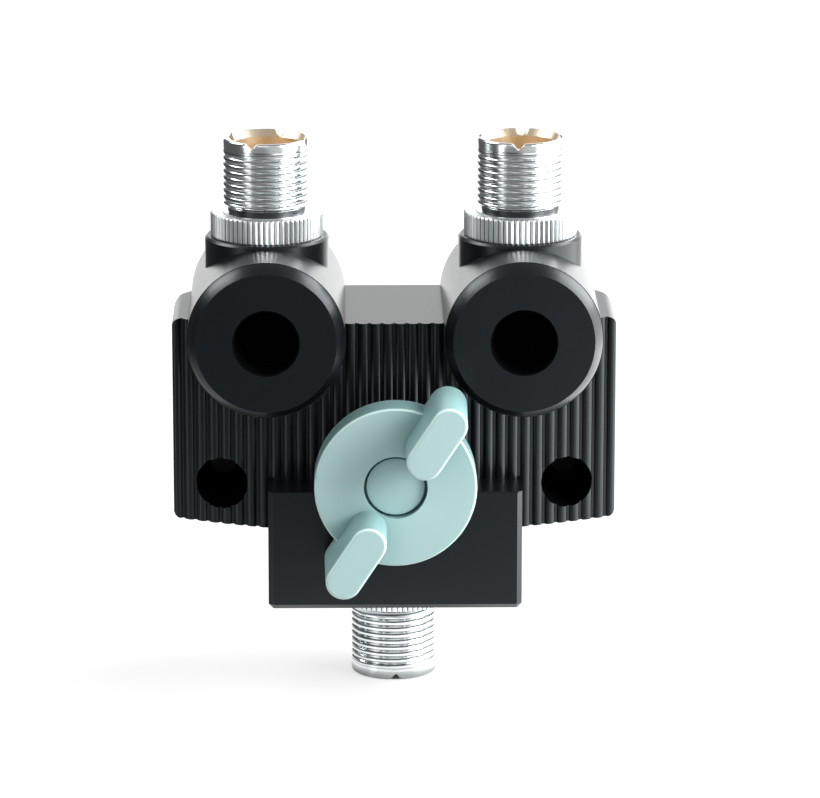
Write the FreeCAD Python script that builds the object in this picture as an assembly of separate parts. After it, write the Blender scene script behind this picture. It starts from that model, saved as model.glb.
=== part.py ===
"""Two-way coaxial antenna switch: a die-cast box with three threaded sockets and a winged knob.

Frame: X to the right, Y to the back, Z up, in millimetres. The origin is midway between
the two wall-screw holes, on the flat back. Depths are measured forward from that back.
"""
import FreeCAD, Part
import math
import os

V = FreeCAD.Vector
AXIS_Y = V(0, 1, 0)
AXIS_Z = V(0, 0, 1)

# Driving dimensions, in millimetres and degrees.

# Plate: the ribbed, crowned panel that carries everything
plate_width = 81.0
plate_depth = 31.3
plate_top = 30.6
plate_bottom = 8.7
crown_sag = 4.9
belly_rise = 1.7
rear_corner_r = 12.5
lower_corner_r = 1.5
upper_corner_r = 1.4
rib_pitch = 2.28
rib_edge = 1.2
rib_round = 0.25
groove_mouth = 0.75
groove_floor = 0.45
groove_depth = 0.7

# Barrels: the two round towers that lie front to back, with a blind recess in each face
barrel_r = 14.35
barrel_x = 23.2
barrel_z = 29.3
barrel_length = 40.9
barrel_edge_width = 1.6
barrel_edge_depth = 2.5
barrel_edge_bulge = 0.3
barrel_edge_step = 0.1
recess_r = 5.8
recess_depth = 8.5
recess_chamfer = 0.3
neck_r = 11.35
neck_rise = 0.55
neck_chamfer = 0.4

# Block: the lower box that carries the common socket and the spindle
block_width = 46.1
block_top = 1.25
block_bottom = 20.8
block_depth = 39.7
block_chamfer = 0.9
block_top_chamfer = 0.25

# Wall-screw holes
screw_x = 31.6
screw_hole_r = 2.4
screw_well_r = 4.73
screw_seat = 12.0

# Hollow inside, open at the back
chamber_r = 18.6
port_chamber_r = 9.5
channel_half = 6.0

# Rear cover and its screws
cover_thickness = 2.0
cover_foot_half = 19.8
cover_foot_margin = 3.0
cover_wing_half = 27.8
cover_wing_bottom = 9.5
cover_head_room = 2.6
cover_ear_r = 12.2
cover_screw_r = 1.25
cover_screw_head_r = 2.3
cover_screw_length = 8.0
cover_screw_inset = 3.3

# Threaded sockets
port_depth = 17.0
port_projection = 18.2
shell_seat = 6.0
thread_r = 7.9
shell_root_r = 8.1
socket_r = 6.2
socket_depth = 7.0
insulator_bore_r = 6.0
lip_r = 5.2
lip_height = 1.0
rim_chamfer = 0.4
mouth_chamfer = 1.0
notch_width = 2.0
notch_depth = 1.2
notch_count = 4
right_notch_turn = -4.8
left_notch_turn = -21.5
common_notch_turn = -2.3
ring_r = 10.3
ring_height = 4.45
ring_teeth = 64
ring_tooth_depth = 0.35
ring_chamfer = 0.5
insulator_boss = 0.5
contact_r = 2.7
contact_bore_r = 2.0
contact_bore_depth = 10.0
contact_drop = 0.3
contact_slot = 0.5
contact_slot_depth = 6.0
contact_slots = 4
tail_r = 1.5
tail_length = 2.2
tail_slot_depth = 1.8

# Line strips inside
line_thickness = 0.8
line_width = 4.5
eye_r = 3.5
fixed_contact_reach = 14.5
standoff_r = 2.0
standoff_spigot_r = 1.2
standoff_spigot = 2.0
line_screw_r = 0.9
line_screw_head_r = 1.7
line_screw_head = 1.0
line_screw_length = 5.0
port_standoff_drop = 3.3
common_standoff_drop = 14.0

# Knob: a disc with two wings
knob_z = 4.1
knob_r = 14.65
knob_disc = 6.5
knob_gap = 0.8
knob_edge_r = 0.5
wing_rise = 11.45
wing_width = 6.5
wing_span = 8.0
wing_centre = 13.1
wing_draft = 0.2
wing_root = 2.3
wing_edge_r = 0.6
hole_r = 5.75
hole_step = 2.8
cap_r = 5.2
cap_recess = 1.0
cap_top = 0.9
cap_skirt = 0.6
knob_web = 2.8
knob_screw_r = 1.5
knob_screw_head_r = 4.2
knob_screw_head = 1.2
knob_screw_length = 9.0
half_throw = 33.3

# Spindle, bush, detent and rotor
boss_r = 8.5
spindle_r = 3.0
spindle_flat = 2.4
bush_r = 5.0
bush_flange_r = 6.5
bush_flange = 1.2
washer_r = 5.6
washer_thickness = 0.5
detent_disc_r = 11.4
detent_disc = 2.0
detent_track_r = 9.0
ball_r = 1.5
ball_travel = 0.45
ball_bore_depth = 8.0
spring_wire_r = 0.2
spring_pitch = 2.2
stop_pin_r = 1.2
stop_pin_seat = 2.5
ground_thickness = 0.6
ground_hub_r = 6.0
ground_reach = 17.0
ground_knee = 15.2
ground_width = 5.0
clip_thickness = 0.6
clip_r = 4.4
clip_groove_r = 2.5
clip_mouth = 60.0
rotor_r = 8.5
rotor_cup_r = 4.8
rotor_web = 1.6
blade_thickness = 0.5
blade_reach = 16.5
blade_tail = 7.0
blade_width = 4.5
rivet_r = 0.8
rivet_head_r = 1.3
rivet_offset = 5.0
rivet_length = 3.0
rotor_pin_r = 0.6
rotor_pin_stretch = 2.5

# Fits
seat_gap = 0.05
run_gap = 0.05
part_gap = 0.3
slot_gap = 0.1

# Places worked out from the sizes above
neck_top = barrel_z + barrel_r + neck_rise
recess_floor = barrel_length - recess_depth
knob_rear = block_depth + knob_gap
knob_face = knob_rear + knob_disc
wing_face = knob_face + wing_rise
hole_floor = knob_rear + knob_web
throw = 2.0 * half_throw
line_front = port_depth + line_thickness / 2.0
line_rear = port_depth - line_thickness / 2.0
blade_rear = line_front + part_gap
rotor_rear = blade_rear + blade_thickness
spindle_end = rotor_rear + rotor_web
clip_rear = spindle_end + rotor_pin_stretch
ground_rear = clip_rear + clip_thickness
rotor_front = ground_rear - seat_gap
disc_rear = ground_rear + ground_thickness
disc_front = disc_rear + detent_disc
flange_face = disc_front + part_gap
chamber_depth = flange_face + bush_flange


def polar(radius, angle):
    """Point (x, z) at a clockwise angle from straight up, about the spindle's axis."""
    a = math.radians(angle)
    return (radius * math.sin(a), knob_z + radius * math.cos(a))


def rod(radius, front, rear, x=0.0, z=knob_z):
    """Cylinder along Y between two depths."""
    return Part.makeCylinder(radius, front - rear, V(x, -front, z), AXIS_Y)


def box(x0, x1, front, rear, z0, z1):
    """Box between two x, two depths and two heights."""
    return Part.makeBox(x1 - x0, front - rear, z1 - z0, V(x0, -front, z0))


def capsule_wire(p, q, half, depth, grow=0.0):
    """Round-ended outline about the line from p to q, in the plane at one depth."""
    a = V(p[0], -depth, p[1])
    b = V(q[0], -depth, q[1])
    along = (b - a).normalize()
    side = along.cross(AXIS_Y)
    r = half + grow
    a1, a2 = a + side * r, a - side * r
    b1, b2 = b + side * r, b - side * r
    return Part.Wire([
        Part.LineSegment(a1, b1).toShape(),
        Part.Arc(b1, b + along * r, b2).toShape(),
        Part.LineSegment(b2, a2).toShape(),
        Part.Arc(a2, a - along * r, a1).toShape(),
    ])


def bar(p, q, half, front, rear):
    """Round-ended flat bar from p to q, between two depths."""
    return Part.Face(capsule_wire(p, q, half, front)).extrude(V(0, front - rear, 0))


def sector(r_in, r_out, a0, a1, front, rear):
    """Part of a flat ring between two clockwise angles, about the spindle's axis."""
    def at(r, a):
        x, z = polar(r, a)
        return V(x, -front, z)
    mid = (a0 + a1) / 2.0
    wire = Part.Wire([
        Part.Arc(at(r_out, a0), at(r_out, mid), at(r_out, a1)).toShape(),
        Part.LineSegment(at(r_out, a1), at(r_in, a1)).toShape(),
        Part.Arc(at(r_in, a1), at(r_in, mid), at(r_in, a0)).toShape(),
        Part.LineSegment(at(r_in, a0), at(r_out, a0)).toShape(),
    ])
    return Part.Face(wire).extrude(V(0, front - rear, 0))


def turned(shape, angle=half_throw):
    """Turn a shape clockwise about the spindle's axis, seen from the front."""
    shape = shape.copy()
    shape.rotate(V(0, 0, knob_z), AXIS_Y, angle)
    return shape


def mirrored(shape):
    """The same shape on the other side of the middle plane."""
    return shape.mirror(V(0, 0, 0), V(1, 0, 0))


def edges_at(shape, test):
    """Edges whose every vertex passes the test."""
    return [e for e in shape.Edges if e.Vertexes and all(test(v.Point) for v in e.Vertexes)]


def crown_depth(x):
    """Depth of the crowned front at a distance from the middle."""
    half = plate_width / 2.0
    radius = (half ** 2 + crown_sag ** 2) / (2.0 * crown_sag)
    return plate_depth - radius + math.sqrt(radius ** 2 - x ** 2)


def ribbed_front():
    """Plan of the crowned front: a round-topped rib and a flat-floored groove to each pitch."""
    half = plate_width / 2.0
    count = int((half - rib_edge - groove_mouth / 2.0) / rib_pitch)

    def at(x, below):
        return V(x, below - crown_depth(x), -plate_bottom)

    def rib(start, end):
        return Part.Arc(at(start, rib_round), at((start + end) / 2.0, 0.0), at(end, rib_round)).toShape()

    edges = []
    rib_start = -half
    for k in range(-count, count + 1):
        x = k * rib_pitch
        mouth = (x - groove_mouth / 2.0, x + groove_mouth / 2.0)
        floor = (x - groove_floor / 2.0, x + groove_floor / 2.0)
        path = [at(mouth[0], rib_round), at(floor[0], groove_depth),
                at(floor[1], groove_depth), at(mouth[1], rib_round)]
        edges.append(rib(rib_start, mouth[0]))
        edges += [Part.LineSegment(a, b).toShape() for a, b in zip(path, path[1:])]
        rib_start = mouth[1]
    edges.append(rib(rib_start, half))
    return edges


def plate():
    """Ribbed and crowned in plan, with round rear corners and a bellied lower edge."""
    half = plate_width / 2.0
    side = plate_depth - crown_sag - rib_round
    knee = rear_corner_r * (1.0 - math.sqrt(0.5))
    low, high = -plate_bottom, plate_top
    c = half - rear_corner_r
    plan = Part.Wire(ribbed_front() + [
        Part.LineSegment(V(half, -side, low), V(half, -rear_corner_r, low)).toShape(),
        Part.Arc(V(half, -rear_corner_r, low), V(half - knee, -knee, low), V(c, 0, low)).toShape(),
        Part.LineSegment(V(c, 0, low), V(-c, 0, low)).toShape(),
        Part.Arc(V(-c, 0, low), V(knee - half, -knee, low), V(-half, -rear_corner_r, low)).toShape(),
        Part.LineSegment(V(-half, -rear_corner_r, low), V(-half, -side, low)).toShape(),
    ])
    body = Part.Face(plan).extrude(V(0, 0, high - low))
    front = -plate_depth
    end = low + belly_rise
    view = Part.Wire([
        Part.Arc(V(-half, front, end), V(0, front, low), V(half, front, end)).toShape(),
        Part.LineSegment(V(half, front, end), V(half, front, high)).toShape(),
        Part.LineSegment(V(half, front, high), V(-half, front, high)).toShape(),
        Part.LineSegment(V(-half, front, high), V(-half, front, end)).toShape(),
    ])
    face = Part.Face(view).extrude(V(0, plate_depth, 0))
    for level, radius in ((end, lower_corner_r), (high, upper_corner_r)):
        corners = edges_at(face, lambda p: abs(p.z - level) < 1e-6)
        corners = [e for e in corners if abs(e.Vertexes[0].X - e.Vertexes[-1].X) < 1e-6]
        face = face.makeFillet(radius, corners)
    return body.common(face)


def barrel():
    """Right-hand barrel. A fine step parts its side from the crowned band round the front."""
    side, edge = barrel_length - barrel_edge_depth, barrel_r - barrel_edge_step

    def at(radius, depth):
        return V(0, -depth, -radius)

    start, end = at(edge, side), at(barrel_r - barrel_edge_width, barrel_length)
    chord = end - start
    out = V(1, 0, 0).cross(chord).normalize()
    corners = [start, at(barrel_r, side), at(barrel_r, 0), at(0, 0), at(0, barrel_length), end]
    outline = [Part.LineSegment(p, q).toShape() for p, q in zip(corners, corners[1:])]
    outline.append(Part.Arc(end, start + chord * 0.5 + out * barrel_edge_bulge, start).toShape())
    solid = Part.Face(Part.Wire(outline)).revolve(V(0, 0, 0), AXIS_Y, 360.0)
    solid.translate(V(barrel_x, 0, barrel_z))
    return solid


def neck():
    """Right-hand neck: the upright collar that the socket is screwed into."""
    height = neck_top - barrel_z
    solid = Part.makeCylinder(neck_r, height, V(barrel_x, -port_depth, barrel_z), AXIS_Z)
    rim = edges_at(solid, lambda p: abs(p.z - neck_top) < 1e-6)
    return solid.makeChamfer(neck_chamfer, [e for e in rim if len(e.Vertexes) == 1])


def block():
    """Lower box with chamfered front and lower edges; its top edge is only just broken."""
    half = block_width / 2.0
    solid = box(-half, half, block_depth, 0.0, -block_bottom, block_top)
    top = edges_at(solid, lambda p: abs(p.y + block_depth) < 1e-6 and abs(p.z - block_top) < 1e-6)
    solid = solid.makeChamfer(block_top_chamfer, top)
    front = edges_at(solid, lambda p: abs(p.y + block_depth) < 1e-6 and p.z < block_top)
    front = [e for e in front if min(v.Z for v in e.Vertexes) < -block_bottom + 1e-6]
    low = edges_at(solid, lambda p: abs(p.z + block_bottom) < 1e-6 and abs(abs(p.x) - half) < 1e-6)
    low = [e for e in low if abs(e.Vertexes[0].X - e.Vertexes[1].X) < 1e-6]
    return solid.makeChamfer(block_chamfer, front + low)


def recess():
    """Right-hand blind recess with a small chamfer at its mouth."""
    hole = rod(recess_r, barrel_length, recess_floor, barrel_x, barrel_z)
    mouth = Part.makeCone(recess_r + recess_chamfer, recess_r, recess_chamfer,
                          V(barrel_x, -barrel_length, barrel_z), AXIS_Y)
    return [hole, mouth]


def wall_hole():
    """Right-hand wall-screw hole with a deep well for the head."""
    return [rod(screw_hole_r, plate_depth, 0.0, screw_x, 0.0),
            rod(screw_well_r, plate_depth, screw_seat, screw_x, 0.0)]


def hollow():
    """Round main chamber, two port chambers and the channels that join them."""
    rear = cover_thickness
    cuts = [rod(chamber_r, chamber_depth, rear)]
    for side in (-1, 1):
        x = side * barrel_x
        cuts.append(rod(port_chamber_r, chamber_depth, rear, x, barrel_z))
        cuts.append(bar((0, knob_z), (x, barrel_z), channel_half, chamber_depth, rear))
        cuts.append(Part.makeCylinder(shell_root_r + seat_gap, neck_top - barrel_z,
                                      V(x, -port_depth, barrel_z), AXIS_Z))
    cuts.append(Part.makeCylinder(shell_root_r + seat_gap, knob_z + block_bottom,
                                  V(0, -port_depth, -block_bottom), AXIS_Z))
    return cuts


def cover_outline(gap=0.0):
    """The cover's shape: a foot over the main chamber, a bar and two round ears."""
    foot_low = knob_z - chamber_r - cover_foot_margin
    top = plate_top - cover_head_room
    t = cover_thickness
    f, w, ear = cover_foot_half + gap, cover_wing_half + gap, cover_ear_r + gap
    return [box(-f, f, t, 0.0, foot_low - gap, top + gap),
            box(-w, w, t, 0.0, cover_wing_bottom - gap, top + gap),
            rod(ear, t, 0.0, barrel_x, barrel_z),
            rod(ear, t, 0.0, -barrel_x, barrel_z)]


def cover_screw_places():
    """Centres (x, z) of the rear cover's screws."""
    foot_low = knob_z - chamber_r - cover_foot_margin
    inset = cover_screw_inset
    wing = (cover_wing_half - inset, cover_wing_bottom + inset)
    foot = (cover_foot_half - inset, foot_low + inset)
    top = (0.0, (knob_z + chamber_r + plate_top - cover_head_room) / 2.0)
    return [top, wing, (-wing[0], wing[1]), foot, (-foot[0], foot[1])]


def standoff_places():
    """Centres (x, z) of the insulating posts under the three line strips."""
    return [(barrel_x, barrel_z - port_standoff_drop),
            (-barrel_x, barrel_z - port_standoff_drop),
            (0.0, knob_z - common_standoff_drop)]


def small_holes():
    """Holes for the bush, ball, stop pin, posts and cover screws."""
    ball_x, ball_z = polar(detent_track_r, 180.0)
    pin_x, pin_z = polar(detent_track_r, 0.0)
    cuts = [rod(bush_r + seat_gap, block_depth, chamber_depth),
            rod(ball_r + run_gap, chamber_depth + ball_bore_depth, chamber_depth, ball_x, ball_z),
            rod(stop_pin_r + seat_gap, chamber_depth + stop_pin_seat, chamber_depth, pin_x, pin_z)]
    for x, z in standoff_places():
        bottom = chamber_depth + standoff_spigot + seat_gap
        cuts.append(rod(standoff_spigot_r + seat_gap, bottom, chamber_depth, x, z))
    for x, z in cover_screw_places():
        cuts.append(rod(cover_screw_r + seat_gap, cover_screw_length + part_gap, 0.0, x, z))
    return cuts


def housing():
    """The die casting: plate, barrels, necks, block and spindle boss in one solid."""
    boss = rod(boss_r, block_depth, chamber_depth)
    right = [barrel(), neck()]
    left = [mirrored(s) for s in right]
    body = plate().fuse(right + left + [block(), boss])
    cuts = recess() + wall_hole()
    cuts += [mirrored(s) for s in cuts]
    cuts += hollow() + cover_outline(slot_gap) + small_holes()
    return body.cut(cuts).removeSplitter()


def rear_cover():
    """Flat cover, sunk flush into the back."""
    parts = cover_outline()
    solid = parts[0].fuse(parts[1:]).removeSplitter()
    cuts = []
    for x, z in cover_screw_places():
        cuts.append(rod(cover_screw_r + slot_gap, cover_thickness, 0.0, x, z))
        cuts.append(screw_cone(x, z, slot_gap))
    return solid.cut(cuts)


def screw_cone(x, z, gap=0.0):
    """Countersunk head, flush with the back."""
    small, large = cover_screw_r + gap, cover_screw_head_r + gap
    height = cover_screw_head_r - cover_screw_r
    return Part.makeCone(small, large, height, V(x, -height, z), AXIS_Y)


def rear_cover_screws():
    """Countersunk screws of the rear cover."""
    solids = []
    for x, z in cover_screw_places():
        shank = rod(cover_screw_r, cover_screw_length, 0.0, x, z)
        solids.append(shank.fuse(screw_cone(x, z)).removeSplitter())
    return Part.makeCompound(solids)


def place_port(shape, port):
    """Stand a socket part, drawn on +Z with its seat at zero, on one of the three seats."""
    shape = shape.copy()
    if port == "common":
        shape.rotate(V(0, 0, 0), V(1, 0, 0), 180.0)
        shape.translate(V(0, -port_depth, -block_bottom))
        return shape
    x = barrel_x if port == "right" else -barrel_x
    shape.translate(V(x, -port_depth, neck_top))
    return shape


def connector_shell(port):
    """Threaded tube with a rim notched in four places and a lip below its insulator."""
    root_top = ring_height + part_gap
    top, bottom = port_projection, -shell_seat
    c = rim_chamfer
    outline = [(thread_r - c, top), (thread_r, top - c), (thread_r, root_top),
               (shell_root_r, root_top), (shell_root_r, bottom), (lip_r, bottom),
               (lip_r, bottom + lip_height), (insulator_bore_r, bottom + lip_height),
               (insulator_bore_r, top - socket_depth), (socket_r, top - socket_depth),
               (socket_r, top - mouth_chamfer), (socket_r + mouth_chamfer, top)]
    points = [V(r, 0, z) for r, z in outline]
    tube = Part.Face(Part.makePolygon(points + points[:1])).revolve(V(0, 0, 0), AXIS_Z, 360.0)
    turn = {"right": right_notch_turn, "left": left_notch_turn, "common": common_notch_turn}[port]
    cuts = [rim_notch(turn + 360.0 * k / notch_count) for k in range(notch_count)]
    return place_port(tube.cut(cuts), port)


def rim_notch(angle):
    """V-shaped cut across one side of the rim."""
    half = notch_width / 2.0
    top = port_projection
    path = Part.makePolygon([V(-half, 0, top), V(0, 0, top - notch_depth), V(half, 0, top), V(-half, 0, top)])
    cut = Part.Face(path).extrude(V(0, -ring_r, 0))
    cut.rotate(V(0, 0, 0), AXIS_Z, angle)
    return cut


def knurled_ring(port):
    """Collar with straight teeth, seated on the neck or under the block."""
    root = ring_r - ring_tooth_depth
    points = []
    for k in range(2 * ring_teeth):
        radius = ring_r if k % 2 == 0 else root
        a = math.pi * k / ring_teeth
        points.append(V(radius * math.cos(a), radius * math.sin(a), 0))
    star = Part.Face(Part.makePolygon(points + points[:1])).extrude(V(0, 0, ring_height))
    c = ring_chamfer
    outline = [V(0, 0, 0), V(ring_r - c, 0, 0), V(ring_r, 0, c), V(ring_r, 0, ring_height - c),
               V(ring_r - c, 0, ring_height), V(0, 0, ring_height), V(0, 0, 0)]
    blank = Part.Face(Part.makePolygon(outline)).revolve(V(0, 0, 0), AXIS_Z, 360.0)
    bore = Part.makeCylinder(shell_root_r + seat_gap, ring_height)
    return place_port(star.common(blank).cut(bore), port)


def socket_insulator(port):
    """Plastic bead that holds the centre contact, stopped by the shell's lip."""
    low = lip_height - shell_seat
    high = port_projection - socket_depth
    solid = Part.makeCylinder(insulator_bore_r - seat_gap, high - low, V(0, 0, low))
    boss_height = lip_height + insulator_boss
    boss = Part.makeCylinder(lip_r - seat_gap, boss_height, V(0, 0, low - boss_height))
    bore = Part.makeCylinder(contact_r + seat_gap, high + shell_seat + insulator_boss,
                             V(0, 0, -shell_seat - insulator_boss))
    return place_port(solid.fuse(boss).removeSplitter().cut(bore), port)


def centre_contact(port):
    """Slotted tube for the plug's pin, with a forked tail for the line strip."""
    top = port_projection - socket_depth - contact_drop
    base = -shell_seat - insulator_boss
    solid = Part.makeCylinder(contact_r, top - base, V(0, 0, base))
    tail = Part.makeCylinder(tail_r, tail_length, V(0, 0, base - tail_length))
    cuts = [Part.makeCylinder(contact_bore_r, contact_bore_depth, V(0, 0, top - contact_bore_depth))]
    for k in range(contact_slots // 2):
        slit = Part.makeBox(2 * contact_r, contact_slot, contact_slot_depth,
                            V(-contact_r, -contact_slot / 2.0, top - contact_slot_depth))
        slit.rotate(V(0, 0, 0), AXIS_Z, 45.0 + 360.0 * k / contact_slots)
        cuts.append(slit)
    fork = line_thickness + 2 * seat_gap
    cuts.append(Part.makeBox(2 * tail_r, fork, tail_slot_depth, V(-tail_r, -fork / 2.0, base - tail_length)))
    return place_port(solid.fuse(tail).cut(cuts).removeSplitter(), port)


def line_end():
    """Distance from a socket's seat to the end of its line strip, in the forked tail."""
    return shell_seat + insulator_boss + tail_length - tail_slot_depth + seat_gap


def port_line(side):
    """Strip from one upper socket down to its fixed contact beside the rotor."""
    x = side * barrel_x
    top = neck_top - line_end()
    half = line_width / 2.0
    place = (x, barrel_z - port_standoff_drop)
    stem = box(x - half, x + half, line_front, line_rear, place[1], top)
    arm = bar(place, polar(fixed_contact_reach, side * half_throw), half, line_front, line_rear)
    hole = rod(line_screw_r + seat_gap, line_front, line_rear, *place)
    return stem.fuse(arm).removeSplitter().cut(hole)


def common_line():
    """Strip from the lower socket up to an eye on the spindle's axis."""
    half = line_width / 2.0
    low = -block_bottom + line_end()
    stem = box(-half, half, line_front, line_rear, low, knob_z)
    eye = rod(eye_r, line_front, line_rear)
    hole = rod(line_screw_r + seat_gap, line_front, line_rear, 0.0, knob_z - common_standoff_drop)
    return stem.fuse(eye).removeSplitter().cut(hole)


def line_standoffs():
    """Insulating posts between the chamber's floor and the line strips."""
    solids = []
    for x, z in standoff_places():
        post = rod(standoff_r, chamber_depth, line_front, x, z)
        spigot = rod(standoff_spigot_r, chamber_depth + standoff_spigot, chamber_depth, x, z)
        hole = rod(line_screw_r, line_front + line_screw_length, line_front, x, z)
        solids.append(post.fuse(spigot).cut(hole))
    return Part.makeCompound(solids)


def line_screws():
    """Small screws that hold the strips on the posts."""
    solids = []
    for x, z in standoff_places():
        shank = rod(line_screw_r, line_front + line_screw_length - part_gap, line_rear, x, z)
        head = rod(line_screw_head_r, line_rear, line_rear - line_screw_head, x, z)
        solids.append(shank.fuse(head).removeSplitter())
    return Part.makeCompound(solids)


def d_profile(radius, front, rear, gap=0.0):
    """Shaft section with one flat, in its straight-up pose."""
    solid = rod(radius + gap, front, rear)
    beyond = box(-2 * radius, 2 * radius, front, rear, knob_z - 2 * radius - gap, knob_z - spindle_flat - gap)
    return solid.cut(beyond)


def spindle_bush():
    """Flanged bearing in the boss, put in from inside."""
    tube = rod(bush_r, block_depth, chamber_depth)
    flange = rod(bush_flange_r, chamber_depth, flange_face)
    bore = rod(spindle_r + run_gap, block_depth, flange_face)
    return tube.fuse(flange).removeSplitter().cut(bore)


def spindle():
    """Shaft from the knob to the rotor: round in the bush, with a flat at both ends."""
    front_end = hole_floor - slot_gap
    head = d_profile(spindle_r, front_end, knob_rear)
    journal = rod(spindle_r, knob_rear, disc_front)
    tail = d_profile(spindle_r, disc_front, spindle_end)
    solid = head.fuse([journal, tail]).removeSplitter()
    groove = rod(spindle_r + part_gap, ground_rear, clip_rear).cut(rod(clip_groove_r, ground_rear, clip_rear))
    tapped = rod(knob_screw_r + seat_gap, front_end, hole_floor - knob_screw_length - part_gap)
    return turned(solid.cut([groove, tapped, rotor_pin_hole()]))


def rotor_pin_depth():
    """Depth of the cross pin, midway in the stretch behind the retaining clip."""
    return (clip_rear + spindle_end) / 2.0


def rotor_pin_hole(length=rotor_r):
    """Straight-up pose of the cross pin, or of the hole it fills."""
    return Part.makeCylinder(rotor_pin_r, 2 * length, V(-length, -rotor_pin_depth(), knob_z), V(1, 0, 0))


def rotor_pin():
    """Cross pin through the rotor and the spindle."""
    return turned(rotor_pin_hole(rotor_r - part_gap))


def retaining_clip():
    """Open ring in the spindle's groove."""
    mouth = clip_mouth / 2.0
    ring = sector(clip_groove_r + seat_gap, clip_r, mouth, 360.0 - mouth, ground_rear, clip_rear)
    return turned(ring)


def thrust_washer():
    """Washer between the knob and the bush."""
    ring = rod(washer_r, knob_rear, knob_rear - washer_thickness)
    return ring.cut(rod(spindle_r + seat_gap, knob_rear, knob_rear - washer_thickness))


def detent_disc_plate():
    """Disc with two ball pockets and the arc slot that the stop pin runs in."""
    solid = rod(detent_disc_r, disc_front, disc_rear)
    cuts = [turned(d_profile(spindle_r, disc_front, disc_rear, seat_gap))]
    half = stop_pin_r + slot_gap
    cuts.append(sector(detent_track_r - half, detent_track_r + half, 0.0, throw, disc_front, disc_rear))
    for angle in (0.0, throw):
        x, z = polar(detent_track_r, angle)
        cuts.append(rod(half, disc_front, disc_rear, x, z))
        x, z = polar(detent_track_r, 180.0 + angle)
        centre = V(x, -(ball_depth() - ball_travel), z)
        cuts.append(Part.makeSphere(ball_r + slot_gap, centre))
    return solid.cut(cuts)


def ball_depth():
    """Depth of the ball's centre while it rides on the disc's face."""
    return disc_front + run_gap + ball_r


def detent_ball():
    """Ball at the height where it rides between the pockets."""
    x, z = polar(detent_track_r, 180.0)
    return Part.makeSphere(ball_r, V(x, -ball_depth(), z))


def detent_spring():
    """Coil spring that pushes the ball at the disc."""
    x, z = polar(detent_track_r, 180.0)
    coil_r = ball_r - part_gap
    bottom = chamber_depth + ball_bore_depth - spring_wire_r - seat_gap
    top = ball_depth() + math.sqrt(ball_r ** 2 - coil_r ** 2) + spring_wire_r + part_gap
    helix = Part.makeHelix(spring_pitch, bottom - top, coil_r)
    start = Part.Wire([Part.Circle(V(coil_r, 0, 0), AXIS_Y, spring_wire_r).toShape()])
    coil = Part.Wire(helix.Edges).makePipeShell([start], True, True)
    coil.rotate(V(0, 0, 0), V(1, 0, 0), -90.0)
    coil.translate(V(x, -bottom, z))
    return coil


def stop_pin():
    """Pin in the chamber's floor that limits the turn."""
    x, z = polar(detent_track_r, 0.0)
    return rod(stop_pin_r, chamber_depth + stop_pin_seat - seat_gap, disc_rear + part_gap, x, z)


def grounding_plate():
    """Spring plate whose two bent arms short the unused socket to the case."""
    solid = rod(ground_hub_r, disc_rear, ground_rear)
    half = ground_width / 2.0
    t = ground_thickness
    parts = []
    for angle in (-throw, throw):
        arm = box(-half, half, disc_rear, ground_rear, knob_z, knob_z + ground_knee)
        riser = box(-half, half, disc_rear, blade_rear, knob_z + ground_knee - t, knob_z + ground_knee)
        foot = box(-half, half, blade_rear + t, blade_rear, knob_z + ground_knee - t, knob_z + ground_reach)
        parts += [turned(s, angle) for s in (arm, riser, foot)]
    solid = solid.fuse(parts).removeSplitter()
    return turned(solid.cut(d_profile(spindle_r, disc_rear, ground_rear, seat_gap)))


def rotor_insulator():
    """Plastic hub that carries the blade and keeps it off the spindle."""
    solid = rod(rotor_r, rotor_front, rotor_rear)
    cup = rod(rotor_cup_r, rotor_front, clip_rear - slot_gap)
    socket = d_profile(spindle_r, rotor_front, spindle_end - slot_gap, seat_gap)
    cuts = [cup, socket, rotor_pin_hole()] + rivet_bodies()
    return turned(solid.cut(cuts))


def rivet_bodies():
    """Straight-up pose of the two rivets, flush with the blade."""
    solids = []
    head = rivet_head_r - rivet_r
    for z in (knob_z - rivet_offset, knob_z + rivet_offset):
        shank = rod(rivet_r, blade_rear + rivet_length, blade_rear, 0.0, z)
        cone = Part.makeCone(rivet_r, rivet_head_r, head, V(0, -blade_rear - head, z), AXIS_Y)
        solids.append(shank.fuse(cone).removeSplitter())
    return solids


def rotor_blade():
    """Contact blade from the spindle's axis out to a fixed contact."""
    half = blade_width / 2.0
    tail, tip = (0.0, knob_z - blade_tail + half), (0.0, knob_z + blade_reach - half)
    blade = bar(tail, tip, half, rotor_rear, blade_rear)
    return turned(blade.cut(rivet_bodies()))


def blade_rivets():
    """Flush rivets that hold the blade."""
    return turned(Part.makeCompound(rivet_bodies()))


def wing(side):
    """Round-ended grip with drafted sides, which starts in front of the disc's rear plane."""
    inner = (0.0, knob_z + side * (wing_centre - wing_span / 2.0))
    outer = (0.0, knob_z + side * (wing_centre + wing_span / 2.0))
    half = wing_width / 2.0
    front = capsule_wire(inner, outer, half, wing_face)
    rear = capsule_wire(inner, outer, half, knob_rear + wing_root, wing_draft)
    solid = Part.makeLoft([front, rear], True, True)
    rim = edges_at(solid, lambda p: abs(p.y + wing_face) < 1e-6)
    return solid.makeFillet(wing_edge_r, rim)


def knob():
    """Disc with two wings, a stepped hole for the cap and a web on the spindle's flat."""
    disc = rod(knob_r, knob_face, knob_rear)
    rim = edges_at(disc, lambda p: abs(p.y + knob_face) < 1e-6)
    disc = disc.makeFillet(knob_edge_r, [e for e in rim if len(e.Vertexes) == 1])
    solid = disc.fuse([wing(-1), wing(1)])
    cuts = [rod(hole_r, wing_face, knob_face - hole_step),
            rod(cap_r + seat_gap, knob_face, hole_floor),
            d_profile(spindle_r, hole_floor, knob_rear, seat_gap)]
    return turned(solid.cut(cuts).removeSplitter())


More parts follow.
